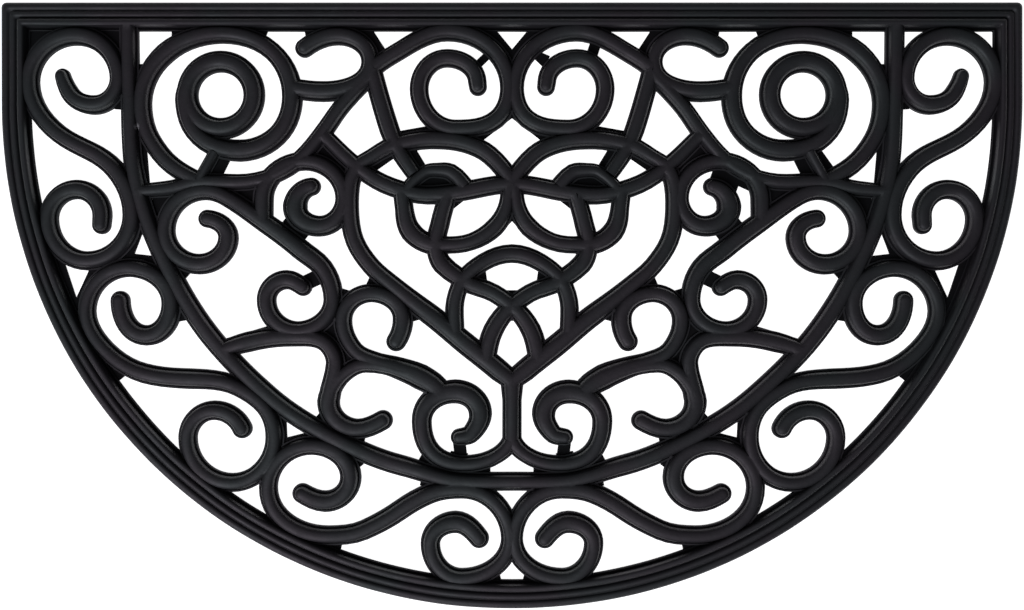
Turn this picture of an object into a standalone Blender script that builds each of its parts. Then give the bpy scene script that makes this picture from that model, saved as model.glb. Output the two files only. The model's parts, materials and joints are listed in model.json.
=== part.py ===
"""A half-round doormat of moulded black rubber: a ridged rim around openwork scrolls.

Millimetres are used in the tables and turned into metres once. The mat lies on z = 0 with
its straight edge at +Y and its round edge at -Y, and is the same on both sides of x = 0.
"""
import math

import bmesh
import bpy
from mathutils import Vector

MM = 0.001

# Driving sizes of the whole mat, in millimetres
MAT_WIDTH = 762.0
MAT_DEPTH = 452.5
SIDE_STRAIGHT = 73.0
ROUND_POWER = 2.03
CORNER_RADIUS = 3.5
RIM_WIDTH = 21.5

# Heights and proportions of the strands and the low webs between them
CROWN_HEIGHT = 9.0
CROWN_SHARE = 0.62
WEB_HEIGHT = 3.0

# How finely the round shapes are stepped
ROUND_STEPS = 52
STEP_TURN = 33.0
TIP_ANGLES = (32.0, 60.0, 82.0)

MAT_NAME = "doormat"
RUBBER_COLOUR = (0.022, 0.022, 0.024, 1.0)
RUBBER_ROUGHNESS = 0.62

# The rim's section, from the outer edge inwards
RIM_COLUMNS = ("inset", "height")
RIM_SECTION = (
    (0.0, 0.0),
    (0.0, 3.8),
    (1.4, 5.9),
    (4.8, 6.2),
    (6.3, 4.6),
    (7.6, 6.9),
    (10.9, 7.1),
    (12.2, 5.4),
    (13.6, 9.0),
    (15.8, 10.0),
    (18.0, 9.0),
    (19.4, 3.0),
    (RIM_WIDTH, 3.0),
    (RIM_WIDTH, 0.0),
)

# Each strand's rows, charted for the half at -X: distance from the centre line, distance
# from the straight edge, heading in degrees (0 towards the centre line, 90 away from the
# straight edge, 180 outwards, 270 towards the straight edge) and width at the base.
STRAND_COLUMNS = ("across", "down", "heading", "width")
STRANDS = {
    "corner_scroll": (
        (335.5, 55.0, 77, 11.5),
        (330.5, 67.0, 60, 13.5),
        (312.0, 76.5, 0, 14.5),
        (293.5, 56.5, 270, 14.0),
        (325.5, 24.5, 180, 15.0),
        (360.0, 59.5, 90, 14.0),
        (338.5, 98.0, 38, 14.0),
        (315.0, 111.0, 26, 14.5),
        (296.5, 124.5, 49, 15.0),
        (283.0, 158.5, 90, 15.5),
        (316.5, 193.0, 180, 14.5),
        (346.0, 161.5, 270, 14.0),
        (325.0, 139.5, 0, 14.5),
        (306.0, 159.5, 92, 14.5),
        (306.5, 166.0, 92, 14.0),
    ),
    "second_scroll": (
        (292.5, 222.5, 90, 14.5),
        (273.0, 248.5, 0, 15.5),
        (254.0, 225.0, 270, 15.5),
        (285.5, 198.0, 180, 14.0),
        (317.5, 230.5, 90, 13.0),
        (303.0, 259.5, 46, 13.5),
        (274.5, 277.0, 15, 15.0),
        (240.5, 281.0, 2, 15.5),
        (204.5, 287.0, 27, 14.0),
        (185.0, 301.5, 50, 13.5),
        (177.0, 324.5, 90, 14.5),
        (209.0, 358.5, 180, 14.0),
        (242.0, 325.0, 270, 14.0),
        (222.0, 304.5, 0, 14.5),
        (201.5, 318.0, 66, 15.0),
    ),
    "third_scroll": (
        (156.5, 366.5, 30, 15.0),
        (139.5, 372.5, 0, 16.0),
        (120.5, 354.5, 270, 16.0),
        (149.5, 330.5, 180, 14.5),
        (182.0, 362.0, 90, 14.0),
        (137.5, 398.0, 0, 14.5),
        (110.5, 394.0, 336, 15.0),
        (83.5, 379.0, 325, 15.5),
        (61.0, 366.5, 338, 15.5),
        (37.5, 363.0, 0, 15.0),
        (1.5, 400.0, 90, 13.5),
        (37.5, 429.5, 180, 14.0),
        (61.0, 404.0, 270, 14.5),
        (42.0, 388.0, 0, 16.5),
        (24.5, 400.0, 52, 15.0),
    ),
    "spiral_turn": (
        (239.0, 57.0, 120, 14.0),
        (244.0, 72.5, 88, 15.5),
        (237.0, 96.0, 52, 15.0),
        (203.0, 110.5, 0, 16.5),
        (175.5, 99.5, 316, 15.5),
        (164.0, 70.5, 270, 15.5),
        (179.0, 36.5, 222, 14.0),
        (216.5, 23.5, 180, 14.0),
        (259.0, 38.0, 139, 16.0),
        (276.5, 75.0, 90, 14.5),
        (270.0, 102.0, 60, 14.0),
        (254.0, 121.5, 38, 14.0),
        (235.0, 132.5, 25, 13.5),
    ),
    "spiral_bar": (
        (221.5, 111.5, 118, 10.0),
        (233.0, 132.5, 118, 10.0),
    ),
    "wave": (
        (279.5, 141.0, 0, 11.0),
        (259.0, 139.5, 356, 12.5),
        (233.0, 134.0, 355, 13.0),
        (204.5, 134.5, 0, 13.0),
        (172.0, 126.5, 333, 12.5),
        (145.5, 103.0, 308, 13.5),
        (132.0, 84.0, 304, 13.0),
        (116.0, 65.0, 313, 13.0),
        (102.5, 50.5, 302, 12.5),
    ),
    "inner_scroll": (
        (227.5, 161.5, 5, 13.5),
        (212.0, 176.0, 92, 15.0),
        (233.5, 195.5, 180, 15.5),
        (259.0, 170.5, 270, 14.5),
        (229.0, 140.5, 0, 14.0),
        (214.5, 144.5, 28, 14.0),
        (184.5, 164.5, 35, 15.5),
        (158.5, 184.0, 40, 16.0),
        (141.5, 198.0, 53, 15.5),
        (133.5, 221.5, 90, 14.5),
        (160.0, 245.0, 180, 14.0),
        (183.5, 222.0, 270, 14.5),
        (168.0, 207.0, 0, 14.5),
        (156.0, 212.5, 35, 13.5),
    ),
    "left_volute": (
        (186.0, 164.0, 270, 15.0),
        (186.0, 147.5, 270, 15.5),
        (154.5, 118.5, 0, 14.0),
        (125.0, 146.5, 90, 14.0),
        (144.0, 167.0, 180, 15.5),
        (162.0, 152.0, 274, 18.5),
        (149.5, 137.5, 350, 13.5),
    ),
    "top_hook": (
        (155.0, 34.0, 322, 14.0),
        (130.0, 24.5, 0, 14.5),
        (105.5, 44.5, 90, 14.0),
        (141.0, 66.5, 180, 15.5),
        (163.5, 64.0, 190, 15.0),
    ),
    "top_scroll": (
        (103.0, 48.5, 320, 13.5),
        (81.5, 34.5, 328, 13.5),
        (48.0, 21.5, 0, 14.5),
        (2.0, 64.0, 90, 14.0),
        (11.5, 87.0, 140, 14.0),
        (42.0, 94.5, 180, 14.0),
        (69.5, 64.5, 270, 14.0),
        (48.5, 41.5, 0, 13.5),
        (26.0, 59.5, 88, 14.0),
        (25.5, 63.0, 90, 13.5),
    ),
    "steep_bar": (
        (105.0, 47.5, 76, 14.5),
        (91.5, 95.0, 72, 15.0),
        (73.0, 128.0, 54, 12.5),
    ),
    "upper_arc": (
        (116.5, 123.0, 318, 12.5),
        (104.5, 115.5, 329, 13.0),
        (87.5, 106.5, 345, 14.0),
        (55.5, 102.0, 2, 15.0),
        (34.5, 105.0, 16, 14.5),
        (16.5, 114.0, 40, 14.5),
        (0.0, 133.5, 56, 14.0),
    ),
    "lower_arc": (
        (-3.5, 128.0, 125, 13.5),
        (3.0, 146.5, 95, 12.5),
        (13.0, 168.0, 135, 14.5),
        (30.0, 178.5, 160, 13.0),
        (46.5, 181.0, 180, 13.0),
        (62.0, 180.0, 197, 15.5),
        (75.5, 171.0, 232, 16.5),
        (80.5, 154.0, 264, 14.0),
        (82.0, 138.5, 270, 14.0),
    ),
    "eye_arc": (
        (78.5, 140.0, 300, 10.5),
        (65.5, 127.5, 325, 11.0),
        (56.5, 125.5, 2, 11.5),
        (45.5, 127.0, 28, 13.5),
        (35.0, 137.5, 50, 14.0),
    ),
    "crossing_strap": (
        (47.0, 141.5, 108, 14.0),
        (54.0, 166.0, 102, 14.5),
        (57.0, 182.5, 80, 14.5),
        (52.0, 195.5, 48, 15.5),
        (35.5, 208.0, 34, 14.5),
        (13.5, 217.0, 30, 14.0),
        (0.0, 226.5, 40, 14.0),
        (-14.0, 244.5, 64, 15.5),
        (-19.5, 265.5, 80, 15.5),
    ),
    "heart_line": (
        (113.5, 120.0, 125, 13.5),
        (121.0, 137.0, 97, 14.5),
        (121.5, 153.5, 88, 14.0),
        (117.5, 178.0, 68, 14.0),
        (105.5, 196.5, 50, 14.0),
        (88.0, 212.0, 40, 14.5),
        (62.5, 232.0, 36, 16.5),
        (32.5, 256.5, 39, 17.0),
        (9.5, 275.0, 41, 17.0),
        (0.0, 282.5, 45, 15.0),
    ),
    "lower_volute": (
        (1.0, 327.5, 115, 13.5),
        (11.0, 338.0, 148, 12.5),
        (35.0, 344.5, 180, 13.0),
        (60.0, 335.5, 228, 14.5),
        (67.5, 312.5, 270, 15.0),
        (42.5, 290.5, 0, 18.0),
        (23.5, 307.5, 90, 17.5),
        (30.0, 321.5, 130, 14.5),
        (39.5, 324.5, 170, 12.5),
    ),
    "heart_volute": (
        (86.5, 253.0, 304, 15.0),
        (81.5, 236.5, 270, 15.5),
        (105.0, 217.0, 180, 14.0),
        (126.5, 237.5, 90, 14.0),
        (117.5, 259.5, 50, 13.0),
        (100.0, 268.5, 20, 14.0),
        (83.5, 273.5, 20, 17.0),
        (68.5, 279.5, 28, 19.5),
        (54.0, 290.5, 60, 17.5),
    ),
    "side_hook": (
        (83.5, 275.0, 200, 12.5),
        (109.0, 270.0, 180, 13.0),
        (127.5, 279.5, 135, 13.0),
        (137.0, 297.5, 92, 17.0),
        (115.0, 318.5, 0, 15.0),
        (96.5, 312.0, 330, 15.0),
    ),
    "side_arch": (
        (215.0, 259.5, 332, 13.5),
        (197.0, 253.5, 346, 15.5),
        (163.5, 249.5, 1, 15.0),
        (138.0, 255.0, 45, 14.0),
        (131.5, 270.0, 92, 15.0),
        (136.5, 295.5, 98, 16.5),
    ),
}

# Strands that run over the centre line in one sweep: these rows stop on it
CENTRE_STRANDS = {
    "arch_rib": (
        (286.0, 16.7, 90, 14.5),
        (285.0, 73.0, 88, 14.5),
        (281.0, 129.0, 79, 15.0),
        (266.0, 177.5, 67, 15.0),
        (228.0, 245.5, 53, 15.5),
        (181.0, 294.0, 41, 15.0),
        (128.5, 327.5, 27, 15.0),
        (83.5, 345.5, 14, 15.5),
        (39.0, 357.0, 4, 14.0),
        (0.0, 357.5, 0, 14.0),
    ),
    "cross_strap": (
        (140.5, 99.5, 43, 13.0),
        (116.5, 122.0, 37, 13.5),
        (95.5, 135.5, 24, 14.0),
        (76.0, 142.0, 14, 14.0),
        (56.5, 143.5, 355, 14.5),
        (31.5, 140.0, 349, 14.5),
        (0.0, 135.5, 0, 14.0),
    ),
    "dome_arch": (
        (42.5, 246.0, 270, 14.0),
        (43.0, 228.0, 272, 14.0),
        (39.5, 212.5, 292, 13.5),
        (26.0, 197.0, 325, 13.5),
        (0.0, 187.5, 0, 14.0),
    ),
}

# The stem stands on the centre line
STEM = (
    (0.0, 280.5, 90, 18.0),
    (0.0, 297.0, 90, 14.5),
    (0.0, 329.5, 90, 14.5),
)

# The ring in the middle of each spiral
RING_ACROSS = 217.5
RING_DOWN = 69.0
RING_RADIUS = 25.0
RING_WIDTH = 16.0

# Free ends, which are rounded: whether the first and the last row of a strand is one
FREE_ENDS = {
    "corner_scroll": (True, True),
    "second_scroll": (True, True),
    "third_scroll": (True, True),
    "inner_scroll": (True, True),
    "left_volute": (False, True),
    "top_hook": (True, False),
    "top_scroll": (False, True),
    "lower_volute": (False, True),
    "heart_volute": (True, False),
    "side_hook": (False, True),
}

# Low webs that close the narrow corners, each a strip between two points
WEB_COLUMNS = ("across", "down", "across", "down", "width")
WEBS = (
    (360.0, 34.0, 345.0, 19.0, 13.5),
    (308.5, 17.5, 292.5, 33.0, 12.0),
    (282.0, 48.5, 270.5, 48.5, 5.5),
    (215.0, 114.5, 222.5, 129.5, 10.5),
    (261.5, 143.5, 262.5, 167.0, 14.0),
    (207.0, 140.0, 192.5, 146.0, 12.0),
    (146.5, 107.5, 125.0, 127.5, 9.0),
    (68.0, 135.5, 44.5, 135.5, 11.0),
    (76.0, 108.5, 65.5, 126.0, 6.5),
    (19.0, 18.0, -2.5, 44.0, 8.0),
    (78.0, 236.5, 67.0, 233.5, 5.5),
    (155.5, 210.0, 145.0, 205.0, 11.5),
    (171.0, 163.0, 154.5, 176.5, 9.0),
    (141.0, 244.0, 131.5, 244.0, 13.0),
    (135.0, 251.0, 121.0, 270.0, 7.5),
    (147.0, 310.0, 132.0, 323.5, 9.0),
    (174.0, 299.0, 172.5, 332.0, 9.5),
    (69.0, 340.0, 54.0, 348.5, 7.0),
    (142.0, 403.5, 127.5, 406.5, 6.0),
    (338.5, 190.0, 324.0, 234.0, 5.0),
    (311.0, 197.5, 326.5, 231.0, 7.5),
    (303.0, 267.0, 292.0, 281.0, 10.0),
    (294.0, 190.0, 266.5, 193.0, 7.5),
    (251.0, 234.5, 239.0, 232.5, 8.0),
    (110.5, 18.0, 95.5, 41.0, 8.5),
    (26.0, 46.5, 15.5, 36.5, 6.0),
    (39.5, 327.5, 38.0, 340.0, 9.5),
)


def clear_scene():
    """Remove the objects that the file opened with."""
    for item in list(bpy.data.objects):
        bpy.data.objects.remove(item, do_unlink=True)


def new_collection(name):
    """A collection linked to the scene."""
    collection = bpy.data.collections.new(name)
    bpy.context.scene.collection.children.link(collection)
    return collection


def rubber_material():
    """Black moulded rubber, dull with a slight sheen."""
    material = bpy.data.materials.new("black_rubber")
    material.use_nodes = True
    shader = material.node_tree.nodes["Principled BSDF"]
    shader.inputs["Base Color"].default_value = RUBBER_COLOUR
    shader.inputs["Roughness"].default_value = RUBBER_ROUGHNESS
    shader.inputs["Metallic"].default_value = 0.0
    return material


def flat_place(across, down):
    """The point on the floor that a chart's two distances name, in millimetres."""
    return Vector((-across, MAT_DEPTH / 2 - down))


def flat_heading(degrees):
    """The direction that a chart's heading names."""
    angle = math.radians(degrees)
    return Vector((math.cos(angle), -math.sin(angle)))


def mirrored(rows):
    """The same rows on the other side of the centre line."""
    return tuple((-across, down, 180 - heading, width) for across, down, heading, width in rows)


def carried_over(rows):
    """Rows that stop on the centre line, carried on to the other side."""
    other_half = []
    for across, down, heading, width in reversed(rows[:-1]):
        other_half.append((-across, down, -heading, width))
    return tuple(rows) + tuple(other_half)


def ring_rows():
    """The spiral's middle ring as four quarter turns that close on themselves."""
    rows = []
    for quarter in range(5):
        angle = math.radians(90 * quarter)
        across = RING_ACROSS + RING_RADIUS * math.cos(angle)
        down = RING_DOWN + RING_RADIUS * math.sin(angle)
        rows.append((across, down, 90 - 90 * quarter, RING_WIDTH))
    return tuple(rows)


def curve_stations(first, second):
    """Stations along the smooth curve from one row to the next, the first row left out."""
    start = flat_place(first[0], first[1])
    end = flat_place(second[0], second[1])
    leave = flat_heading(first[2])
    arrive = flat_heading(second[2])
    chord = end - start
    turn = math.acos(max(-1.0, min(1.0, leave.dot(arrive))))
    reach = chord.length / (3 * math.cos(turn / 4) ** 2)
    start_handle = start + leave * reach
    end_handle = end - arrive * reach
    bend = leave.angle(chord) + chord.angle(arrive)
    steps = max(1, math.ceil(math.degrees(bend) / STEP_TURN))
    stations = []
    for step in range(1, steps + 1):
        share = step / steps
        rest = 1 - share
        place = (
            start * rest**3
            + start_handle * 3 * rest**2 * share
            + end_handle * 3 * rest * share**2
            + end * share**3
        )
        along = (
            (start_handle - start) * rest**2
            + (end_handle - start_handle) * 2 * rest * share
            + (end - end_handle) * share**2
        )
        width = first[3] * rest + second[3] * share
        stations.append((place, along.normalized(), width))
    return stations


def rounded_tip(station, outward):
    """Stations that narrow in a half circle beyond a free end, nearest first."""
    place, along, width = station
    ahead = along * outward
    stations = []
    for degrees in TIP_ANGLES:
        angle = math.radians(degrees)
        tip_place = place + ahead * (width / 2) * math.sin(angle)
        stations.append((tip_place, along, width * math.cos(angle)))
    return stations


def strand_stations(rows, free_start, free_end):
    """Place, direction and width at each step along a strand."""
    stations = [(flat_place(rows[0][0], rows[0][1]), flat_heading(rows[0][2]), rows[0][3])]
    for first, second in zip(rows, rows[1:]):
        stations += curve_stations(first, second)
    if free_start:
        stations = list(reversed(rounded_tip(stations[0], -1))) + stations
    if free_end:
        stations += rounded_tip(stations[-1], 1)
    return stations


def strand_section(station):
    """The four corners of a strand's section: flat below, narrower on top."""
    place, along, width = station
    side = Vector((-along.y, along.x))
    corners = []
    for reach, height in (
        (-width / 2, 0.0),
        (width / 2, 0.0),
        (width / 2 * CROWN_SHARE, CROWN_HEIGHT),
        (-width / 2 * CROWN_SHARE, CROWN_HEIGHT),
    ):
        corner = place + side * reach
        corners.append(Vector((corner.x, corner.y, height)) * MM)
    return corners


def loft(shape, sections, closed):
    """Join closed sections of the same corner count one after another."""
    rings = [[shape.verts.new(corner) for corner in section] for section in sections]
    following = rings[1:] + rings[:1] if closed else rings[1:]
    for ring, next_ring in zip(rings, following):
        count = len(ring)
        for corner in range(count):
            after = (corner + 1) % count
            shape.faces.new((ring[corner], ring[after], next_ring[after], next_ring[corner]))
    if not closed:
        shape.faces.new(rings[0])
        shape.faces.new(rings[-1])
    bmesh.ops.recalc_face_normals(shape, faces=shape.faces)


def finish_mesh(shape, name, collection):
    """Turn a bmesh into an object of the collection."""
    mesh = bpy.data.meshes.new(name)
    shape.to_mesh(mesh)
    shape.free()
    item = bpy.data.objects.new(name, mesh)
    collection.objects.link(item)
    return item


def as_union_piece(item):
    """A piece that only the union uses."""
    item.hide_render = True
    item.display_type = "WIRE"


def build_strand(name, rows, collection):
    """One strand of the openwork as a closed strip."""
    free_start, free_end = FREE_ENDS.get(name.rsplit(".", 1)[0], (False, False))
    sections = [strand_section(station) for station in strand_stations(rows, free_start, free_end)]
    shape = bmesh.new()
    loft(shape, sections, closed=False)
    as_union_piece(finish_mesh(shape, name, collection))


def build_ring(name, rows, collection):
    """The closed ring in the middle of a spiral."""
    sections = [strand_section(station) for station in strand_stations(rows, False, False)]
    shape = bmesh.new()
    loft(shape, sections[:-1], closed=True)
    as_union_piece(finish_mesh(shape, name, collection))


def build_web(name, row, side, collection):
    """A low strip between two points, as wide as the row says."""
    across_a, down_a, across_b, down_b, width = row
    start = flat_place(across_a * side, down_a)
    end = flat_place(across_b * side, down_b)
    along = end - start
    turn = math.atan2(along.y, along.x)
    bpy.ops.mesh.primitive_cube_add(size=1.0, rotation=(0.0, 0.0, turn))
    web = bpy.context.object
    web.name = name
    middle = (start + end) / 2 * MM
    web.location = (middle.x, middle.y, WEB_HEIGHT / 2 * MM)
    web.scale = (along.length * MM, width * MM, WEB_HEIGHT * MM)
    for owner in list(web.users_collection):
        owner.objects.unlink(web)
    collection.objects.link(web)
    as_union_piece(web)


def rim_outline(inset):
    """The mat's outline, moved inwards: rounded corners, straight sides, then a round."""
    half_width = MAT_WIDTH / 2 - inset
    top = MAT_DEPTH / 2 - inset
    round_start = MAT_DEPTH / 2 - SIDE_STRAIGHT
    round_depth = MAT_DEPTH - SIDE_STRAIGHT - inset
    radius = CORNER_RADIUS * (1 - 0.8 * inset / RIM_WIDTH)
    outline = []
    for degrees in (90, 135, 180):
        angle = math.radians(degrees)
        x = -half_width + radius + radius * math.cos(angle)
        y = top - radius + radius * math.sin(angle)
        outline.append((x, y))
    for step in range(ROUND_STEPS + 1):
        angle = math.pi * step / ROUND_STEPS
        cosine = math.cos(angle)
        x = -half_width * math.copysign(abs(cosine) ** (2 / ROUND_POWER), cosine)
        y = round_start - round_depth * max(0.0, math.sin(angle)) ** (2 / ROUND_POWER)
        outline.append((x, y))
    for degrees in (0, 45, 90):
        angle = math.radians(degrees)
        x = half_width - radius + radius * math.cos(angle)
        y = top - radius + radius * math.sin(angle)
        outline.append((x, y))
    return outline


def build_rim(collection):
    """The ridged rim, lofted through its section's rows and closed underneath."""
    sections = []
    for inset, height in RIM_SECTION:
        sections.append([Vector((x, y, height)) * MM for x, y in rim_outline(inset)])
    shape = bmesh.new()
    loft(shape, sections, closed=True)
    return finish_mesh(shape, MAT_NAME, collection)


def build_openwork(collection):
    """All strands, rings and webs of both halves."""
    for name, rows in STRANDS.items():
        build_strand(f"{name}.left", rows, collection)
        build_strand(f"{name}.right", mirrored(rows), collection)
    for name, rows in CENTRE_STRANDS.items():
        build_strand(name, carried_over(rows), collection)
    build_strand("stem", STEM, collection)
    build_ring("spiral_ring.left", ring_rows(), collection)
    build_ring("spiral_ring.right", mirrored(ring_rows()), collection)
    for index, row in enumerate(WEBS):
        build_web(f"web_{index}.left", row, 1, collection)
        build_web(f"web_{index}.right", row, -1, collection)


def build_mat():
    """The rim with the openwork moulded to it as one body."""
    mat_collection = new_collection(MAT_NAME)
    pieces = new_collection("openwork_pieces")
    mat = build_rim(mat_collection)
    mat.data.materials.append(rubber_material())
    build_openwork(pieces)
    union = mat.modifiers.new("openwork", "BOOLEAN")
    union.operation = "UNION"
    union.operand_type = "COLLECTION"
    union.collection = pieces
    union.solver = "EXACT"


clear_scene()
build_mat()
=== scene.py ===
import json
import math
from collections import namedtuple

import bmesh
import bpy
from mathutils import Matrix, Vector, noise

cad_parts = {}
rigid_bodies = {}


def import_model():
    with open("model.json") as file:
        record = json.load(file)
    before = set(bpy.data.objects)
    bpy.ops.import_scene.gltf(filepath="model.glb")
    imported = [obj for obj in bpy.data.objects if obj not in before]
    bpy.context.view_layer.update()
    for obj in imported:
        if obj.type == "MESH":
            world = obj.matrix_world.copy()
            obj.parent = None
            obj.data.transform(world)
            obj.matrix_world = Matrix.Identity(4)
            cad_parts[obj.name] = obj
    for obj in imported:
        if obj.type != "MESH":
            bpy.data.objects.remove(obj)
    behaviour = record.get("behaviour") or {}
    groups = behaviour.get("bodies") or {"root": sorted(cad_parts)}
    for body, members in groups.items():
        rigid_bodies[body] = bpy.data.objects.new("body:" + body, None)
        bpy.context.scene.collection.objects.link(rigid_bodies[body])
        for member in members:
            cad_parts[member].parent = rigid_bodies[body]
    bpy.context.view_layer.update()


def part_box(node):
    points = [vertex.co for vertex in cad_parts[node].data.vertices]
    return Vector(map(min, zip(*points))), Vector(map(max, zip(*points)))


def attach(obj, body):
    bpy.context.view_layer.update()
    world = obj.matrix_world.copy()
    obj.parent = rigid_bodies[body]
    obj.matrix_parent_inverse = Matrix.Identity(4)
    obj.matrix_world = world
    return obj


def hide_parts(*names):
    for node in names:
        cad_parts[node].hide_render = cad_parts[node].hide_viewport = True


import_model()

MM = 0.001
SOLID = "doormat"
solid_low, solid_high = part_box(SOLID)

# Driving sizes of the whole mat, in millimetres: the first three are its solid's. The
# round edge is an ellipse of the round power, and by the rim's inner edge a corner has
# lost the share of its radius that the corner loss gives.
MAT_WIDTH = (solid_high.x - solid_low.x) / MM
MAT_DEPTH = (solid_high.y - solid_low.y) / MM
RIDGE_HEIGHT = (solid_high.z - solid_low.z) / MM
SIDE_STRAIGHT = 73.0
ROUND_POWER = 2.03
CORNER_RADIUS = 3.5
CORNER_LOSS = 0.8
RIM_WIDTH = 21.5
WEB_HEIGHT = 1.6

# How finely the round shapes are stepped, in counts, degrees and millimetres
ROUND_STEPS = 176
CORNER_STEPS = 5
STEP_TURN = 7.5
STEP_LENGTH = 7.0
TIP_STEPS = 14

# A turn that stays a sharp edge, in degrees, and how near corners are welded
SHARP_EDGE = 62.0
WELD = 0.004

# Slow unevenness of the moulding: how far it strays, over what length, and its start
DRIFT = 0.22
DRIFT_LENGTH = 55.0
WAVER = 0.06
WAVER_LENGTH = 16.0
UNEVEN_SEED = 12

# The camera looks straight down on the middle of the photograph, which is measured in
# pixels, and its scale holds at the view level, in millimetres above the floor.
PICTURE_WIDTH = 1024
PICTURE_HEIGHT = 610
MAT_PIXELS = 1020.5
MAT_TOP_PIXEL = 2.5
CAMERA_HEIGHT = 0.95
SENSOR = 36.0
VIEW_LEVEL = 2.5

# A strand's section, from its foot to its middle.
# Columns: share of the half width, height in millimetres
STRAND_SECTION = (
    (1.0, 0.0),
    (1.0, 2.9),
    (0.97, 3.4),
    (0.82, 3.4),
    (0.77, 2.5),
    (0.72, 3.0),
    (0.67, 6.0),
    (0.60, 7.7),
    (0.48, 8.8),
    (0.27, 9.4),
    (0.0, 9.6),
)

# The rim's section, from the outer edge inwards.
# Columns: inset from the outer edge, height, both in millimetres
RIM_SECTION = (
    (0.0, 0.0),
    (0.0, 2.6),
    (0.4, 4.0),
    (1.3, 5.2),
    (2.6, 5.9),
    (4.2, 6.1),
    (5.4, 5.6),
    (6.1, 4.2),
    (6.6, 4.2),
    (7.2, 5.9),
    (8.2, 6.9),
    (9.6, 7.1),
    (10.9, 6.8),
    (11.7, 5.6),
    (12.2, 4.6),
    (12.7, 5.5),
    (13.4, 8.0),
    (14.3, 9.4),
    (15.6, RIDGE_HEIGHT),
    (16.9, 9.9),
    (17.9, 9.4),
    (18.4, 7.6),
    (18.7, 3.4),
    (19.1, 2.0),
    (20.0, 2.1),
    (20.8, 2.9),
    (RIM_WIDTH, 2.3),
    (RIM_WIDTH, 0.0),
)

# Rubber tones, and the light that falls on them
RUBBER_BLACK = (0.0150, 0.0150, 0.0165, 1.0)
DUST_GREY = (0.045, 0.044, 0.046, 1.0)
# Painted shade: the black that the low ground between the strands is painted with
PAINTED_SHADE_BLACK = (0.0036, 0.0036, 0.0040, 1.0)
TEAL_TINT = (0.90, 1.0, 1.0, 1.0)
VIOLET_TINT = (1.0, 0.92, 1.0, 1.0)
STUDIO_TONE = (0.95, 0.94, 1.0)

# Painted shade on the low ground: heights where the painted shade is deepest and where it ends,
# in millimetres, and how much of the full colour and specular the shaded low ground keeps
DEEPEST_SHADE_HEIGHT = 1.8
SHADE_END_HEIGHT = 3.5
SHADED_SHARE = 0.20
SHINE = 0.5
RUBBER_IOR = 1.5

# Noise patterns of the rubber's skin.
# Columns: scale, detail, roughness
PATTERNS = {
    "cloud": (16.0, 2.0, 0.5),
    "speck": (900.0, 3.0, 0.7),
    # The next pattern breaks up the painted highlight
    "highlight_break": (1100.0, 2.0, 0.5),
    "patch": (70.0, 3.0, 0.6),
    "ripple": (260.0, 2.0, 0.5),
    "grain": (1900.0, 3.0, 0.6),
}

# Between which values a pattern turns from one look to the other
TINT_TURN = (0.38, 0.60)
SPECK_TURN = (0.55, 0.80)
SPECK_MOST = 0.5
# Where the pattern breaks up the painted highlight
HIGHLIGHT_BREAK_TURN = (0.40, 0.60)
PATCH_TURN = (0.3, 0.7)
PATCH_ROUGHNESS = (0.52, 0.66)

# Relief of the skin: strength, and depth in millimetres
RIPPLE_RELIEF = (0.35, 0.4)
GRAIN_RELIEF = (0.25, 0.1)

# A small painted highlight, a bright line on the left spiral's outer turn: its place in
# metres, its reach in millimetres and its tone
PAINTED_HIGHLIGHT_PLACE = (-0.2780, 0.1330, 0.0070)
PAINTED_HIGHLIGHT_REACH = 3.2
PAINTED_HIGHLIGHT_GREY = (0.62, 0.61, 0.63, 1.0)

# The studio: one soft light at the lower left, a dim room and a bright floor
LIGHT_PLACE = (-1.15, -1.85, 2.1)
LIGHT_SIZE = 1.7
LIGHT_POWER = 55.0
ROOM_STRENGTH = 0.12
FLOOR_REACH = 4.0
FLOOR_DROP = 0.3
FLOOR_TONE = (0.85, 0.85, 0.85, 1.0)
FLOOR_ROUGHNESS = 0.9
GLOW_TONE = (1.0, 1.0, 1.0, 1.0)
GLOW_STRENGTH = 1.0

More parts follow.
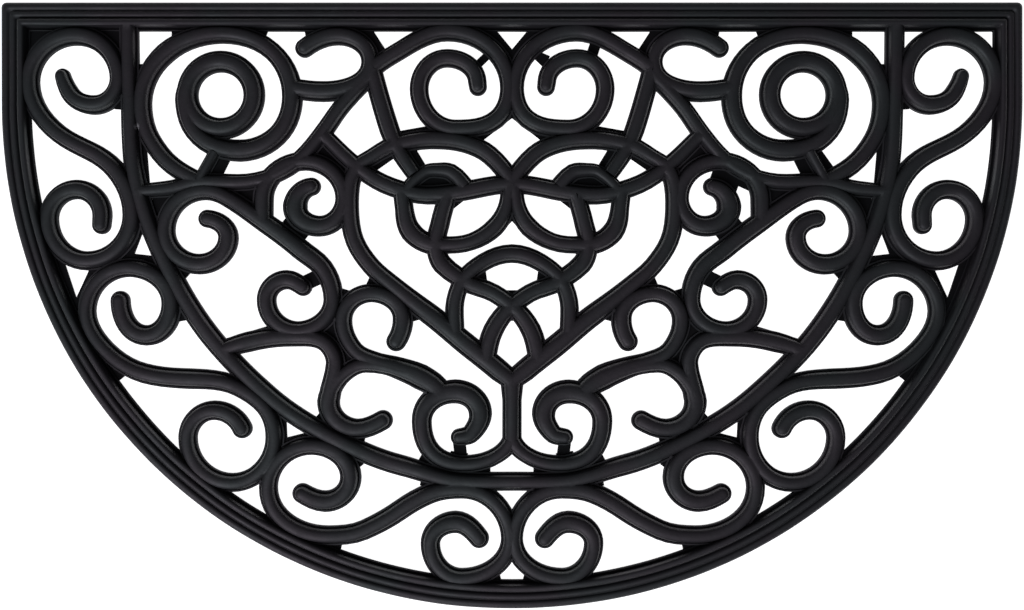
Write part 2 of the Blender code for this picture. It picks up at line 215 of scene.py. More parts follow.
# Each strand's rows, charted for the half at -X: distance from the centre line, distance
# from the straight edge, heading in degrees (0 towards the centre line, 90 away from the
# straight edge, 180 outwards, 270 towards the straight edge) and width at the base.
StrandRow = namedtuple("StrandRow", ("across", "down", "heading", "width"))
STRANDS = {
    "corner_scroll": (
        (335.5, 55.0, 77, 11.5),
        (330.5, 67.0, 60, 13.5),
        (312.0, 76.5, 0, 14.5),
        (293.5, 56.5, 270, 14.0),
        (325.5, 24.5, 180, 15.0),
        (360.0, 59.5, 90, 14.0),
        (338.5, 98.0, 38, 14.0),
        (315.0, 111.0, 26, 14.5),
        (296.5, 124.5, 49, 15.0),
        (283.0, 158.5, 90, 15.5),
        (316.5, 193.0, 180, 14.5),
        (346.0, 161.5, 270, 14.0),
        (325.0, 139.5, 0, 14.5),
        (306.0, 159.5, 92, 14.5),
        (306.5, 166.0, 92, 14.0),
    ),
    "second_scroll": (
        (292.5, 222.5, 90, 14.5),
        (273.0, 248.5, 0, 15.5),
        (254.0, 225.0, 270, 15.5),
        (285.5, 198.0, 180, 14.0),
        (317.5, 230.5, 90, 13.0),
        (303.0, 259.5, 46, 13.5),
        (274.5, 277.0, 15, 15.0),
        (240.5, 281.0, 2, 15.5),
        (204.5, 287.0, 27, 14.0),
        (185.0, 301.5, 50, 13.5),
        (177.0, 324.5, 90, 14.5),
        (209.0, 358.5, 180, 14.0),
        (242.0, 325.0, 270, 14.0),
        (222.0, 304.5, 0, 14.5),
        (201.5, 318.0, 66, 15.0),
    ),
    "third_scroll": (
        (156.5, 366.5, 30, 15.0),
        (139.5, 372.5, 0, 16.0),
        (120.5, 354.5, 270, 16.0),
        (149.5, 330.5, 180, 14.5),
        (182.0, 362.0, 90, 14.0),
        (137.5, 398.0, 0, 14.5),
        (110.5, 394.0, 336, 15.0),
        (83.5, 379.0, 325, 15.5),
        (61.0, 366.5, 338, 15.5),
        (37.5, 363.0, 0, 15.0),
        (1.5, 400.0, 90, 13.5),
        (37.5, 429.5, 180, 14.0),
        (61.0, 404.0, 270, 14.5),
        (42.0, 388.0, 0, 16.5),
        (24.5, 400.0, 52, 15.0),
    ),
    "spiral_turn": (
        (239.0, 57.0, 120, 14.0),
        (244.0, 72.5, 88, 15.5),
        (237.0, 96.0, 52, 15.0),
        (203.0, 110.5, 0, 16.5),
        (175.5, 99.5, 316, 15.5),
        (164.0, 70.5, 270, 15.5),
        (179.0, 36.5, 222, 14.0),
        (216.5, 23.5, 180, 14.0),
        (259.0, 38.0, 139, 16.0),
        (276.5, 75.0, 90, 14.5),
        (270.0, 102.0, 60, 14.0),
        (254.0, 121.5, 38, 14.0),
        (235.0, 132.5, 25, 13.5),
    ),
    "spiral_bar": (
        (221.5, 111.5, 118, 10.0),
        (233.0, 132.5, 118, 10.0),
    ),
    "wave": (
        (279.5, 141.0, 0, 11.0),
        (259.0, 139.5, 356, 12.5),
        (233.0, 134.0, 355, 13.0),
        (204.5, 134.5, 0, 13.0),
        (172.0, 126.5, 333, 12.5),
        (145.5, 103.0, 308, 13.5),
        (132.0, 84.0, 304, 13.0),
        (116.0, 65.0, 313, 13.0),
        (102.5, 50.5, 302, 12.5),
    ),
    "inner_scroll": (
        (227.5, 161.5, 5, 13.5),
        (212.0, 176.0, 92, 15.0),
        (233.5, 195.5, 180, 15.5),
        (259.0, 170.5, 270, 14.5),
        (229.0, 140.5, 0, 14.0),
        (214.5, 144.5, 28, 14.0),
        (184.5, 164.5, 35, 15.5),
        (158.5, 184.0, 40, 16.0),
        (141.5, 198.0, 53, 15.5),
        (133.5, 221.5, 90, 14.5),
        (160.0, 245.0, 180, 14.0),
        (183.5, 222.0, 270, 14.5),
        (168.0, 207.0, 0, 14.5),
        (156.0, 212.5, 35, 13.5),
    ),
    "left_volute": (
        (186.0, 164.0, 270, 15.0),
        (186.0, 147.5, 270, 15.5),
        (154.5, 118.5, 0, 14.0),
        (125.0, 146.5, 90, 14.0),
        (144.0, 167.0, 180, 15.5),
        (162.0, 152.0, 274, 18.5),
        (149.5, 137.5, 350, 13.5),
    ),
    "top_hook": (
        (155.0, 34.0, 322, 14.0),
        (130.0, 24.5, 0, 14.5),
        (105.5, 44.5, 90, 14.0),
        (141.0, 66.5, 180, 15.5),
        (163.5, 64.0, 190, 15.0),
    ),
    "top_scroll": (
        (103.0, 48.5, 320, 13.5),
        (81.5, 34.5, 328, 13.5),
        (48.0, 21.5, 0, 14.5),
        (2.0, 64.0, 90, 14.0),
        (11.5, 87.0, 140, 14.0),
        (42.0, 94.5, 180, 14.0),
        (69.5, 64.5, 270, 14.0),
        (48.5, 41.5, 0, 13.5),
        (26.0, 59.5, 88, 14.0),
        (25.5, 63.0, 90, 13.5),
    ),
    "steep_bar": (
        (105.0, 47.5, 76, 14.5),
        (91.5, 95.0, 72, 15.0),
        (73.0, 128.0, 54, 12.5),
    ),
    "upper_arc": (
        (116.5, 123.0, 318, 12.5),
        (104.5, 115.5, 329, 13.0),
        (87.5, 106.5, 345, 14.0),
        (55.5, 102.0, 2, 15.0),
        (34.5, 105.0, 16, 14.5),
        (16.5, 114.0, 40, 14.5),
        (0.0, 133.5, 56, 14.0),
    ),
    "lower_arc": (
        (-3.5, 128.0, 125, 13.5),
        (3.0, 146.5, 95, 12.5),
        (13.0, 168.0, 135, 14.5),
        (30.0, 178.5, 160, 13.0),
        (46.5, 181.0, 180, 13.0),
        (62.0, 180.0, 197, 15.5),
        (75.5, 171.0, 232, 16.5),
        (80.5, 154.0, 264, 14.0),
        (82.0, 138.5, 270, 14.0),
    ),
    "eye_arc": (
        (78.5, 140.0, 300, 10.5),
        (65.5, 127.5, 325, 11.0),
        (56.5, 125.5, 2, 11.5),
        (45.5, 127.0, 28, 13.5),
        (35.0, 137.5, 50, 14.0),
    ),
    "crossing_strap": (
        (47.0, 141.5, 108, 14.0),
        (54.0, 166.0, 102, 14.5),
        (57.0, 182.5, 80, 14.5),
        (52.0, 195.5, 48, 15.5),
        (35.5, 208.0, 34, 14.5),
        (13.5, 217.0, 30, 14.0),
        (0.0, 226.5, 40, 14.0),
        (-14.0, 244.5, 64, 15.5),
        (-19.5, 265.5, 80, 15.5),
    ),
    "heart_line": (
        (113.5, 120.0, 125, 13.5),
        (121.0, 137.0, 97, 14.5),
        (121.5, 153.5, 88, 14.0),
        (117.5, 178.0, 68, 14.0),
        (105.5, 196.5, 50, 14.0),
        (88.0, 212.0, 40, 14.5),
        (62.5, 232.0, 36, 16.5),
        (32.5, 256.5, 39, 17.0),
        (9.5, 275.0, 41, 17.0),
        (0.0, 282.5, 45, 15.0),
    ),
    "lower_volute": (
        (1.0, 327.5, 115, 13.5),
        (11.0, 338.0, 148, 12.5),
        (35.0, 344.5, 180, 13.0),
        (60.0, 335.5, 228, 14.5),
        (67.5, 312.5, 270, 15.0),
        (42.5, 290.5, 0, 18.0),
        (23.5, 307.5, 90, 17.5),
        (30.0, 321.5, 130, 14.5),
        (39.5, 324.5, 170, 12.5),
    ),
    "heart_volute": (
        (86.5, 253.0, 304, 15.0),
        (81.5, 236.5, 270, 15.5),
        (105.0, 217.0, 180, 14.0),
        (126.5, 237.5, 90, 14.0),
        (117.5, 259.5, 50, 13.0),
        (100.0, 268.5, 20, 14.0),
        (83.5, 273.5, 20, 17.0),
        (68.5, 279.5, 28, 19.5),
        (54.0, 290.5, 60, 17.5),
    ),
    "side_hook": (
        (83.5, 275.0, 200, 12.5),
        (109.0, 270.0, 180, 13.0),
        (127.5, 279.5, 135, 13.0),
        (137.0, 297.5, 92, 17.0),
        (115.0, 318.5, 0, 15.0),
        (96.5, 312.0, 330, 15.0),
    ),
    "side_arch": (
        (215.0, 259.5, 332, 13.5),
        (197.0, 253.5, 346, 15.5),
        (163.5, 249.5, 1, 15.0),
        (138.0, 255.0, 45, 14.0),
        (131.5, 270.0, 92, 15.0),
        (136.5, 295.5, 98, 16.5),
    ),
}

# Strands that run over the centre line in one sweep: these rows stop on it
CENTRE_STRANDS = {
    "arch_rib": (
        (286.0, 16.7, 90, 14.5),
        (285.0, 73.0, 88, 14.5),
        (281.0, 129.0, 79, 15.0),
        (266.0, 177.5, 67, 15.0),
        (228.0, 245.5, 53, 15.5),
        (181.0, 294.0, 41, 15.0),
        (128.5, 327.5, 27, 15.0),
        (83.5, 345.5, 14, 15.5),
        (39.0, 357.0, 4, 14.0),
        (0.0, 357.5, 0, 14.0),
    ),
    "cross_strap": (
        (140.5, 99.5, 43, 13.0),
        (116.5, 122.0, 37, 13.5),
        (95.5, 135.5, 24, 14.0),
        (76.0, 142.0, 14, 14.0),
        (56.5, 143.5, 355, 14.5),
        (31.5, 140.0, 349, 14.5),
        (0.0, 135.5, 0, 14.0),
    ),
    "dome_arch": (
        (42.5, 246.0, 270, 14.0),
        (43.0, 228.0, 272, 14.0),
        (39.5, 212.5, 292, 13.5),
        (26.0, 197.0, 325, 13.5),
        (0.0, 187.5, 0, 14.0),
    ),
}

# The stem stands on the centre line
STEM = (
    (0.0, 280.5, 90, 18.0),
    (0.0, 297.0, 90, 14.5),
    (0.0, 329.5, 90, 14.5),
)

# The ring in the middle of each spiral
RING_ACROSS = 217.5
RING_DOWN = 69.0
RING_RADIUS = 25.0
RING_WIDTH = 16.0

# Free ends, which are rounded: whether the first and the last row of a strand is one
FREE_ENDS = {
    "corner_scroll": (True, True),
    "second_scroll": (True, True),
    "third_scroll": (True, True),
    "inner_scroll": (True, True),
    "left_volute": (False, True),
    "top_hook": (True, False),
    "top_scroll": (False, True),
    "lower_volute": (False, True),
    "heart_volute": (True, False),
    "side_hook": (False, True),
}

# Low webs that close the narrow corners, each a strip between two points.
# Columns: across and down of one point, across and down of the other, width
WEBS = (
    (282.0, 48.5, 270.5, 48.5, 5.5),
    (215.0, 114.5, 222.5, 129.5, 10.5),
    (261.5, 143.5, 262.5, 167.0, 14.0),
    (207.0, 140.0, 192.5, 146.0, 12.0),
    (146.5, 107.5, 125.0, 127.5, 9.0),
    (68.0, 135.5, 44.5, 135.5, 11.0),
    (76.0, 108.5, 65.5, 126.0, 6.5),
    (19.0, 18.0, -2.5, 44.0, 8.0),
    (78.0, 236.5, 67.0, 233.5, 5.5),
    (155.5, 210.0, 145.0, 205.0, 11.5),
    (171.0, 163.0, 154.5, 176.5, 9.0),
    (141.0, 244.0, 131.5, 244.0, 13.0),
    (135.0, 251.0, 121.0, 270.0, 7.5),
    (147.0, 310.0, 132.0, 323.5, 9.0),
    (174.0, 299.0, 172.5, 332.0, 9.5),
    (69.0, 340.0, 54.0, 348.5, 7.0),
    (142.0, 403.5, 127.5, 406.5, 6.0),
    (338.5, 190.0, 324.0, 234.0, 5.0),
    (311.0, 197.5, 326.5, 231.0, 7.5),
    (303.0, 267.0, 292.0, 281.0, 10.0),
    (294.0, 190.0, 266.5, 193.0, 7.5),
    (251.0, 234.5, 239.0, 232.5, 8.0),
    (110.5, 18.0, 95.5, 41.0, 8.5),
    (26.0, 46.5, 15.5, 36.5, 6.0),
    (39.5, 327.5, 38.0, 340.0, 9.5),
)

# Thinner webs in the narrowest corners, too small for the solid
FINE_WEBS = (
    (251.0, 18.0, 251.0, 29.0, 7.0),
    (275.5, 101.0, 272.5, 135.0, 3.5),
    (27.5, 104.5, 0.0, 83.5, 4.5),
    (35.5, 145.0, 45.0, 152.5, 4.0),
    (8.0, 168.5, 0.0, 159.5, 5.0),
    (23.5, 199.0, 22.0, 209.5, 7.5),
    (8.0, 217.0, -8.0, 217.0, 4.5),
    (7.0, 235.5, -7.0, 235.5, 4.5),
    (130.5, 215.0, 117.0, 219.0, 5.0),
    (102.5, 205.5, 106.0, 213.5, 8.0),
    (124.5, 324.5, 110.0, 327.0, 6.0),
    (170.0, 327.5, 150.0, 322.5, 4.5),
    (119.5, 338.5, 113.5, 347.0, 6.5),
    (68.5, 358.0, 59.5, 359.5, 5.5),
    (28.5, 348.5, 16.0, 348.5, 5.5),
    (18.0, 432.0, 8.5, 429.5, 6.5),
    (277.0, 168.5, 284.5, 188.0, 4.0),
    (241.5, 198.5, 248.5, 206.0, 6.5),
    (297.0, 77.0, 288.5, 77.5, 5.0),
    (153.0, 18.0, 151.0, 27.5, 5.5),
    (184.0, 17.5, 187.5, 26.5, 5.5),
    (215.0, 253.0, 178.0, 242.0, 3.5),
    (88.0, 98.5, 57.5, 93.0, 4.0),
    (107.0, 126.5, 84.5, 111.0, 4.5),
    (46.0, 336.8, 33.0, 338.6, 3.6),
    (184.0, 22.0, 193.0, 22.0, 3.0),
)

# Webs of the left half alone: both top corners of its first scroll
LEFT_WEBS = (
    (360.0, 34.0, 345.0, 19.0, 13.5),
    (361.5, 27.0, 353.5, 19.0, 9.0),
    (308.5, 17.5, 292.5, 33.0, 12.0),
    (299.5, 18.5, 290.5, 27.5, 9.0),
)

# Webs of the right half alone, charted as if on the left
RIGHT_WEBS = (
    (63.0, 29.5, 59.0, 41.5, 8.5),
    (20.5, 38.8, 27.6, 41.8, 4.5),
    (151.0, 125.0, 178.5, 137.5, 6.5),
    (148.6, 129.9, 169.1, 137.6, 9.7),
    (227.0, 109.0, 238.0, 124.5, 6.0),
)


def flat_place(across, down):
    """The point on the floor that a chart's two distances name, in millimetres."""
    return Vector((-across, MAT_DEPTH / 2 - down))


def flat_heading(degrees):
    """The direction that a chart's heading names."""
    angle = math.radians(degrees)
    return Vector((math.cos(angle), -math.sin(angle)))


def mirrored(rows):
    """The same rows on the other side of the centre line."""
    return tuple((-across, down, 180 - heading, width) for across, down, heading, width in rows)


def carried_over(rows):
    """Rows that stop on the centre line, carried on to the other side."""
    other_half = []
    for across, down, heading, width in reversed(rows[:-1]):
        other_half.append((-across, down, -heading, width))
    return tuple(rows) + tuple(other_half)


def ring_rows():
    """The spiral's middle ring as four quarter turns that close on themselves."""
    rows = []
    for quarter in range(5):
        angle = math.radians(90 * quarter)
        across = RING_ACROSS + RING_RADIUS * math.cos(angle)
        down = RING_DOWN + RING_RADIUS * math.sin(angle)
        rows.append((across, down, 90 - 90 * quarter, RING_WIDTH))
    return tuple(rows)


def curve_stations(first, second):
    """Stations along the smooth curve from one row to the next, the first row left out."""
    start = flat_place(first.across, first.down)
    end = flat_place(second.across, second.down)
    leave = flat_heading(first.heading)
    arrive = flat_heading(second.heading)
    chord = end - start
    turn = math.acos(max(-1.0, min(1.0, leave.dot(arrive))))
    reach = chord.length / (3 * math.cos(turn / 4) ** 2)
    start_handle = start + leave * reach
    end_handle = end - arrive * reach
    bend = math.degrees(leave.angle(chord) + chord.angle(arrive))
    steps = max(1, math.ceil(bend / STEP_TURN), math.ceil(chord.length / STEP_LENGTH))
    stations = []
    for step in range(1, steps + 1):
        share = step / steps
        rest = 1 - share
        place = (
            start * rest**3
            + start_handle * 3 * rest**2 * share
            + end_handle * 3 * rest * share**2
            + end * share**3
        )
        along = (
            (start_handle - start) * rest**2
            + (end_handle - start_handle) * 2 * rest * share
            + (end - end_handle) * share**2
        )
        width = first.width * rest + second.width * share
        stations.append((place, along.normalized(), width))
    return stations


def strand_stations(rows):
    """Place, direction and width at each step along a strand."""
    rows = [StrandRow(*row) for row in rows]
    start = rows[0]
    place = flat_place(start.across, start.down)
    stations = [(place, flat_heading(start.heading), start.width)]
    for first, second in zip(rows, rows[1:]):
        stations += curve_stations(first, second)
    return stations


def placement(station):
    """Turns a section, in shares of the half width and millimetres high, into place."""
    place, along, width = station
    here = Matrix.Translation((place.x * MM, place.y * MM, 0.0))
    turned = Matrix.Rotation(math.atan2(along.y, along.x), 4, "Z")
    return here @ turned @ Matrix.Diagonal((1.0, width / 2 * MM, MM, 1.0))


def closed_loop(shape, places):
    """Corners joined in a closed loop of edges."""
    corners = [shape.verts.new(place) for place in places]
    edges = [shape.edges.new(pair) for pair in zip(corners, corners[1:] + corners[:1])]
    return corners, edges


def grown(shape, edges):
    """Extrude a loop of edges and give the new loop, in the same order."""
    found = bmesh.ops.extrude_edge_only(shape, edges=edges)["geom"]
    corners = [item for item in found if isinstance(item, bmesh.types.BMVert)]
    edges = [item for item in found if isinstance(item, bmesh.types.BMEdge)]
    return corners, edges


def first_section(shape, station):
    """A strand's section at its first station: middle below, one side, top, other side."""
    one_side = [(0.0, share, height) for share, height in STRAND_SECTION]
    other_side = [(0.0, -share, height) for share, height in reversed(STRAND_SECTION[:-1])]
    there = placement(station)
    places = [there @ Vector(place) for place in [(0.0, 0.0, 0.0)] + one_side + other_side]
    return closed_loop(shape, places)


def round_tip(shape, corners, edges, station, ahead):
    """Spin one half of an end section through half a turn, into a round tip."""
    half = len(STRAND_SECTION)
    place = station[0]
    bmesh.ops.spin(
        shape,
        geom=corners[: half + 1] + edges[:half],
        cent=(place.x * MM, place.y * MM, 0.0),
        axis=(0.0, 0.0, 1.0),
        angle=-math.pi * ahead,
        steps=TIP_STEPS,
        use_merge=False,
    )


def close_shape(shape):
    """Weld what meets, close the open ends and turn the faces outwards."""
    bmesh.ops.remove_doubles(shape, verts=shape.verts, dist=WELD * MM)
    open_edges = [edge for edge in shape.edges if edge.is_boundary]
    bmesh.ops.holes_fill(shape, edges=open_edges, sides=0)
    bmesh.ops.recalc_face_normals(shape, faces=shape.faces)


def finish_piece(shape, name, collection):
    """Turn a bmesh into an object of the collection."""
    close_shape(shape)
    mesh = bpy.data.meshes.new(name)
    shape.to_mesh(mesh)
    shape.free()
    piece = bpy.data.objects.new(name, mesh)
    collection.objects.link(piece)
    return piece


def make_strand(name, rows, collection):
    """One strand: its section extruded from station to station, with its free ends round."""
    stations = strand_stations(rows)
    shape = bmesh.new()
    start_corners, start_edges = first_section(shape, stations[0])
    corners, edges = start_corners, start_edges
    for station, following in zip(stations, stations[1:]):
        corners, edges = grown(shape, edges)
        step = placement(following) @ placement(station).inverted()
        bmesh.ops.transform(shape, matrix=step, verts=corners)
    free_start, free_end = FREE_ENDS.get(name.rsplit(".", 1)[0], (False, False))
    if free_start:
        round_tip(shape, start_corners, start_edges, stations[0], -1)
    if free_end:
        round_tip(shape, corners, edges, stations[-1], 1)
    return finish_piece(shape, name, collection)


def make_web(name, row, side, collection):
    """A low strip between two points, as wide as the row says."""
    across_a, down_a, across_b, down_b, width = row
    start = flat_place(across_a * side, down_a)
    end = flat_place(across_b * side, down_b)
    along = end - start
    middle = (start + end) / 2
    shape = bmesh.new()
    place = (
        Matrix.Translation(Vector((middle.x, middle.y, WEB_HEIGHT / 2)) * MM)
        @ Matrix.Rotation(math.atan2(along.y, along.x), 4, "Z")
        @ Matrix.Diagonal((along.length * MM, width * MM, WEB_HEIGHT * MM, 1.0))
    )
    bmesh.ops.create_cube(shape, size=1.0, matrix=place)
    return finish_piece(shape, name, collection)


def rim_outline(inset):
    """The mat's outline, moved inwards: rounded corners, straight sides, then a round."""
    half_width = MAT_WIDTH / 2 - inset
    top = MAT_DEPTH / 2 - inset
    round_start = MAT_DEPTH / 2 - SIDE_STRAIGHT
    round_depth = MAT_DEPTH - SIDE_STRAIGHT - inset
    radius = CORNER_RADIUS * (1 - CORNER_LOSS * inset / RIM_WIDTH)
    outline = []
    for step in range(CORNER_STEPS):
        angle = math.radians(90 + 90 * step / (CORNER_STEPS - 1))
        x = -half_width + radius + radius * math.cos(angle)
        y = top - radius + radius * math.sin(angle)
        outline.append((x, y))
    for step in range(ROUND_STEPS + 1):
        angle = math.pi * step / ROUND_STEPS
        cosine = math.cos(angle)
        x = -half_width * math.copysign(abs(cosine) ** (2 / ROUND_POWER), cosine)
        y = round_start - round_depth * max(0.0, math.sin(angle)) ** (2 / ROUND_POWER)
        outline.append((x, y))
    for step in range(CORNER_STEPS):
        angle = math.radians(90 * step / (CORNER_STEPS - 1))
        x = half_width - radius + radius * math.cos(angle)
        y = top - radius + radius * math.sin(angle)
        outline.append((x, y))
    return outline


def make_rim(collection):
    """The ridged rim: its outline extruded from row to row of the section, then closed."""
    shape = bmesh.new()
    first_inset, first_height = RIM_SECTION[0]
    places = [Vector((x, y, first_height)) * MM for x, y in rim_outline(first_inset)]
    corners, edges = closed_loop(shape, places)
    outer_edges = edges
    for inset, height in RIM_SECTION[1:]:
        corners, edges = grown(shape, edges)
        for corner, (x, y) in zip(corners, rim_outline(inset)):
            corner.co = Vector((x, y, height)) * MM
    bmesh.ops.bridge_loops(shape, edges=outer_edges + edges)
    return finish_piece(shape, "rim", collection)


def make_openwork(collection):
    """All strands, rings and webs of both halves."""
    for name, rows in STRANDS.items():
        make_strand(f"{name}.left", rows, collection)
        make_strand(f"{name}.right", mirrored(rows), collection)
    for name, rows in CENTRE_STRANDS.items():
        make_strand(name, carried_over(rows), collection)
    make_strand("stem", STEM, collection)
    make_strand("spiral_ring.left", ring_rows(), collection)
    make_strand("spiral_ring.right", mirrored(ring_rows()), collection)
    for index, row in enumerate(WEBS + FINE_WEBS + LEFT_WEBS):
        make_web(f"web_{index}.left", row, 1, collection)
    for index, row in enumerate(WEBS + FINE_WEBS + RIGHT_WEBS):
        make_web(f"web_{index}.right", row, -1, collection)


def fuse(rim, collection):
    """Union of the rim with every piece of the collection, as one new mesh."""
    union = rim.modifiers.new("fused", "BOOLEAN")
    union.operation = "UNION"
    union.operand_type = "COLLECTION"
    union.collection = collection
    union.solver = "MANIFOLD"
    shown = rim.evaluated_get(bpy.context.evaluated_depsgraph_get())
    return bpy.data.meshes.new_from_object(shown)


def uneven(mesh):
    """The slow waver of a real moulding, which leaves the underside flat."""
    noise.seed_set(UNEVEN_SEED)
    for corner in mesh.vertices:
        place = corner.co / MM
        drift = noise.noise_vector(place / DRIFT_LENGTH) * DRIFT
        waver = noise.noise_vector(place / WAVER_LENGTH) * WAVER
        lift = min(1.0, place.z / RIDGE_HEIGHT)
        shift = drift + waver
        corner.co.x += shift.x * MM
        corner.co.y += shift.y * MM
        corner.co.z += shift.z * lift * MM


def make_mat():
    """The whole mat as one piece of moulded rubber."""
    rim_home = bpy.data.collections.new("rim_piece")
    strand_home = bpy.data.collections.new("openwork_pieces")
    for home in (rim_home, strand_home):
        bpy.context.scene.collection.children.link(home)
    rim = make_rim(rim_home)
    make_openwork(strand_home)
    mesh = fuse(rim, strand_home)
    for home in (rim_home, strand_home):
        for piece in list(home.objects):
            bpy.data.objects.remove(piece, do_unlink=True)
        bpy.data.collections.remove(home)
    uneven(mesh)
    mesh.name = "rubber_mat"
    mesh.materials.clear()
    mesh.materials.append(moulded_rubber())
    mesh.shade_smooth()
    mesh.set_sharp_from_angle(angle=math.radians(SHARP_EDGE))
    mat = bpy.data.objects.new("rubber_mat", mesh)
    bpy.context.scene.collection.objects.link(mat)
    return mat


def node(tree, kind, **values):
    """A shader node with its values set: sockets by name, settings by attribute."""
    made = tree.nodes.new(kind)
    for name, value in values.items():
        label = name.replace("_", " ")
        if label in made.inputs:
            made.inputs[label].default_value = value
        else:
            setattr(made, name, value)
    return made


def pattern(tree, spot, name):
    """One of the noise patterns, laid on the object, as a value from 0 to 1."""
    scale, detail, roughness = PATTERNS[name]
    made = node(tree, "ShaderNodeTexNoise", Scale=scale, Detail=detail, Roughness=roughness)
    tree.links.new(spot, made.inputs["Vector"])
    return made.outputs["Fac"]


def stretched(tree, value, turn, least=0.0, most=1.0):
    """A value stretched from between the turn's two ends to between least and most."""
    low, high = turn
    made = node(tree, "ShaderNodeMapRange", From_Min=low, From_Max=high)
    made.inputs["To Min"].default_value = least
    made.inputs["To Max"].default_value = most
    tree.links.new(value, made.inputs["Value"])
    return made.outputs["Result"]


def relief(tree, height, strength_and_depth):
    """A bump of the given height pattern."""
    strength, depth = strength_and_depth
    made = node(tree, "ShaderNodeBump", Strength=strength, Distance=depth * MM)
    tree.links.new(height, made.inputs["Height"])
    return made


def moulded_rubber():
    """Black moulded rubber: cloudy tints, specks of dust, painted shade on the low ground, a
    painted highlight on the left spiral and fine grain.
    """
    material = bpy.data.materials.new("black_moulded_rubber")
    material.use_nodes = True
    tree = material.node_tree
    link = tree.links.new
    shader = tree.nodes["Principled BSDF"]
    shader.inputs["Metallic"].default_value = 0.0
    shader.inputs["IOR"].default_value = RUBBER_IOR
    spot = node(tree, "ShaderNodeTexCoord").outputs["Object"]

    tint = node(tree, "ShaderNodeValToRGB")
    tones = (TEAL_TINT, VIOLET_TINT)
    for stop, place, tone in zip(tint.color_ramp.elements, TINT_TURN, tones):
        stop.position = place
        stop.color = tone
    link(pattern(tree, spot, "cloud"), tint.inputs["Fac"])
    link(tint.outputs["Color"], shader.inputs["Specular Tint"])

    # Painted shade: the low ground between the strands is painted a deeper black and given less
    # specular, standing in for the shade that falls there
    parts = node(tree, "ShaderNodeSeparateXYZ")
    link(spot, parts.inputs["Vector"])
    heights = (DEEPEST_SHADE_HEIGHT * MM, SHADE_END_HEIGHT * MM)
    unshaded_share = stretched(tree, parts.outputs["Z"], heights, least=SHADED_SHARE)
    shaded_shine = node(tree, "ShaderNodeMath", operation="MULTIPLY")
    shaded_shine.inputs[1].default_value = SHINE
    link(unshaded_share, shaded_shine.inputs[0])
    link(shaded_shine.outputs["Value"], shader.inputs["Specular IOR Level"])

    # Specks of dust on the tinted rubber
    speck = stretched(tree, pattern(tree, spot, "speck"), SPECK_TURN, most=SPECK_MOST)
    dusted = node(tree, "ShaderNodeMix", data_type="RGBA")
    dusted.inputs["A"].default_value = RUBBER_BLACK
    dusted.inputs["B"].default_value = DUST_GREY
    link(speck, dusted.inputs["Factor"])
    tinted = node(tree, "ShaderNodeMix", data_type="RGBA", blend_type="MULTIPLY")
    tinted.inputs["Factor"].default_value = 1.0
    link(dusted.outputs["Result"], tinted.inputs["A"])
    link(tint.outputs["Color"], tinted.inputs["B"])
    # Painted shade: the low ground is mixed towards the painted shade black
    shaded = node(tree, "ShaderNodeMix", data_type="RGBA")
    shaded.inputs["A"].default_value = PAINTED_SHADE_BLACK
    link(unshaded_share, shaded.inputs["Factor"])
    link(tinted.outputs["Result"], shaded.inputs["B"])

    # A painted highlight: a light grey spot, broken up by a noise pattern, that fades away from
    # its middle
    away = node(tree, "ShaderNodeVectorMath", operation="DISTANCE")
    away.inputs[1].default_value = PAINTED_HIGHLIGHT_PLACE
    link(spot, away.inputs[0])
    highlight_share = node(tree, "ShaderNodeMath", operation="MULTIPLY")
    link(stretched(tree, away.outputs["Value"], (PAINTED_HIGHLIGHT_REACH * MM, 0.0)), highlight_share.inputs[0])
    link(stretched(tree, pattern(tree, spot, "highlight_break"), HIGHLIGHT_BREAK_TURN), highlight_share.inputs[1])
    highlighted = node(tree, "ShaderNodeMix", data_type="RGBA")
    highlighted.inputs["B"].default_value = PAINTED_HIGHLIGHT_GREY
    link(highlight_share.outputs["Value"], highlighted.inputs["Factor"])
    link(shaded.outputs["Result"], highlighted.inputs["A"])
    link(highlighted.outputs["Result"], shader.inputs["Base Color"])

    # Duller and glossier patches, soft ripples and fine grain
    gloss = stretched(tree, pattern(tree, spot, "patch"), PATCH_TURN, *PATCH_ROUGHNESS)
    link(gloss, shader.inputs["Roughness"])
    soft = relief(tree, pattern(tree, spot, "ripple"), RIPPLE_RELIEF)
    fine = relief(tree, pattern(tree, spot, "grain"), GRAIN_RELIEF)
    link(soft.outputs["Normal"], fine.inputs["Normal"])
    link(fine.outputs["Normal"], shader.inputs["Normal"])
    return material


def white_floor():
    """A plain studio floor that glows, so that it shows as white."""
    material = bpy.data.materials.new("white_floor")
    material.use_nodes = True
    shader = material.node_tree.nodes["Principled BSDF"]
    shader.inputs["Base Color"].default_value = FLOOR_TONE
    shader.inputs["Roughness"].default_value = FLOOR_ROUGHNESS
    shader.inputs["Emission Color"].default_value = GLOW_TONE
    shader.inputs["Emission Strength"].default_value = GLOW_STRENGTH
    return material


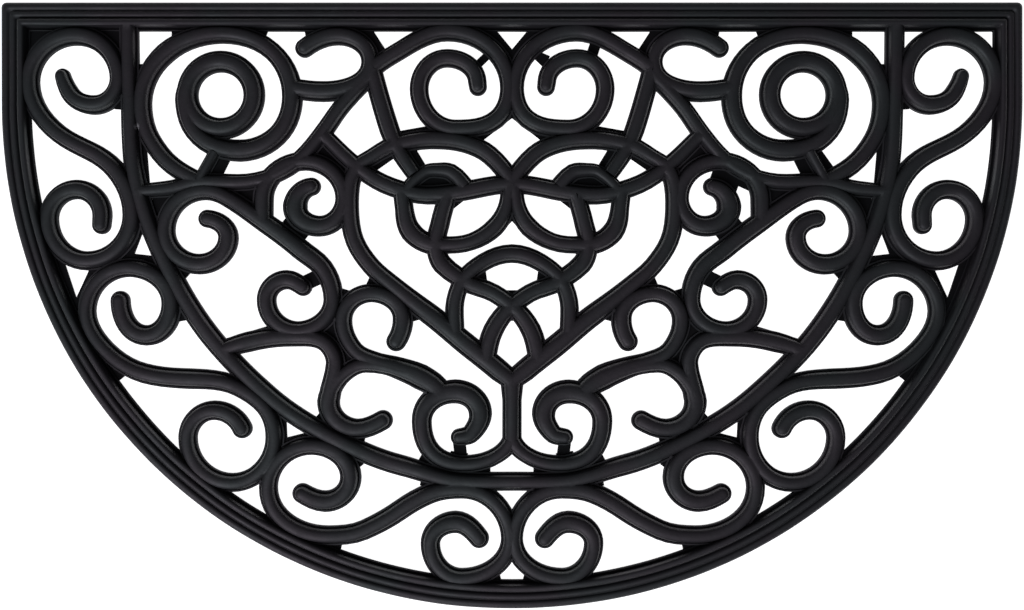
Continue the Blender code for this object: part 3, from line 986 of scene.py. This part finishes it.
def make_floor():
    """The floor that the mat lies on, a hair below its underside."""
    shape = bmesh.new()
    bmesh.ops.create_grid(
        shape,
        x_segments=1,
        y_segments=1,
        size=FLOOR_REACH,
        matrix=Matrix.Translation((0.0, 0.0, -FLOOR_DROP * MM)),
    )
    mesh = bpy.data.meshes.new("floor")
    shape.to_mesh(mesh)
    shape.free()
    mesh.materials.append(white_floor())
    floor = bpy.data.objects.new("floor", mesh)
    bpy.context.scene.collection.objects.link(floor)


def make_camera():
    """Straight above the mat, with the photograph's framing."""
    pixel = MAT_WIDTH / MAT_PIXELS * MM
    middle_down = (PICTURE_HEIGHT / 2 - MAT_TOP_PIXEL) * pixel
    data = bpy.data.cameras.new("camera")
    data.sensor_width = SENSOR
    data.lens = SENSOR * CAMERA_HEIGHT / (PICTURE_WIDTH * pixel)
    camera = bpy.data.objects.new("camera", data)
    camera.location = (0.0, solid_high.y - middle_down, CAMERA_HEIGHT + VIEW_LEVEL * MM)
    bpy.context.scene.collection.objects.link(camera)
    bpy.context.scene.camera = camera


def soft_light(name, place, size, power, colour):
    """A square soft light that faces the mat's middle."""
    data = bpy.data.lights.new(name, "AREA")
    data.shape = "SQUARE"
    data.size = size
    data.energy = power
    data.color = colour
    light = bpy.data.objects.new(name, data)
    light.location = place
    light.rotation_euler = Vector(place).to_track_quat("Z", "Y").to_euler()
    bpy.context.scene.collection.objects.link(light)


def make_studio():
    """Soft light from the lower left, a dim room, the floor and the camera."""
    soft_light("main_light", LIGHT_PLACE, LIGHT_SIZE, LIGHT_POWER, STUDIO_TONE)
    world = bpy.data.worlds.new("room")
    world.use_nodes = True
    room = world.node_tree.nodes["Background"]
    room.inputs["Color"].default_value = STUDIO_TONE + (1.0,)
    room.inputs["Strength"].default_value = ROOM_STRENGTH
    bpy.context.scene.world = world
    bpy.context.scene.view_settings.view_transform = "Standard"
    bpy.context.scene.view_settings.look = "None"
    make_floor()
    make_camera()


make_studio()
mat = make_mat()
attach(mat, "root")
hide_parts(SOLID)
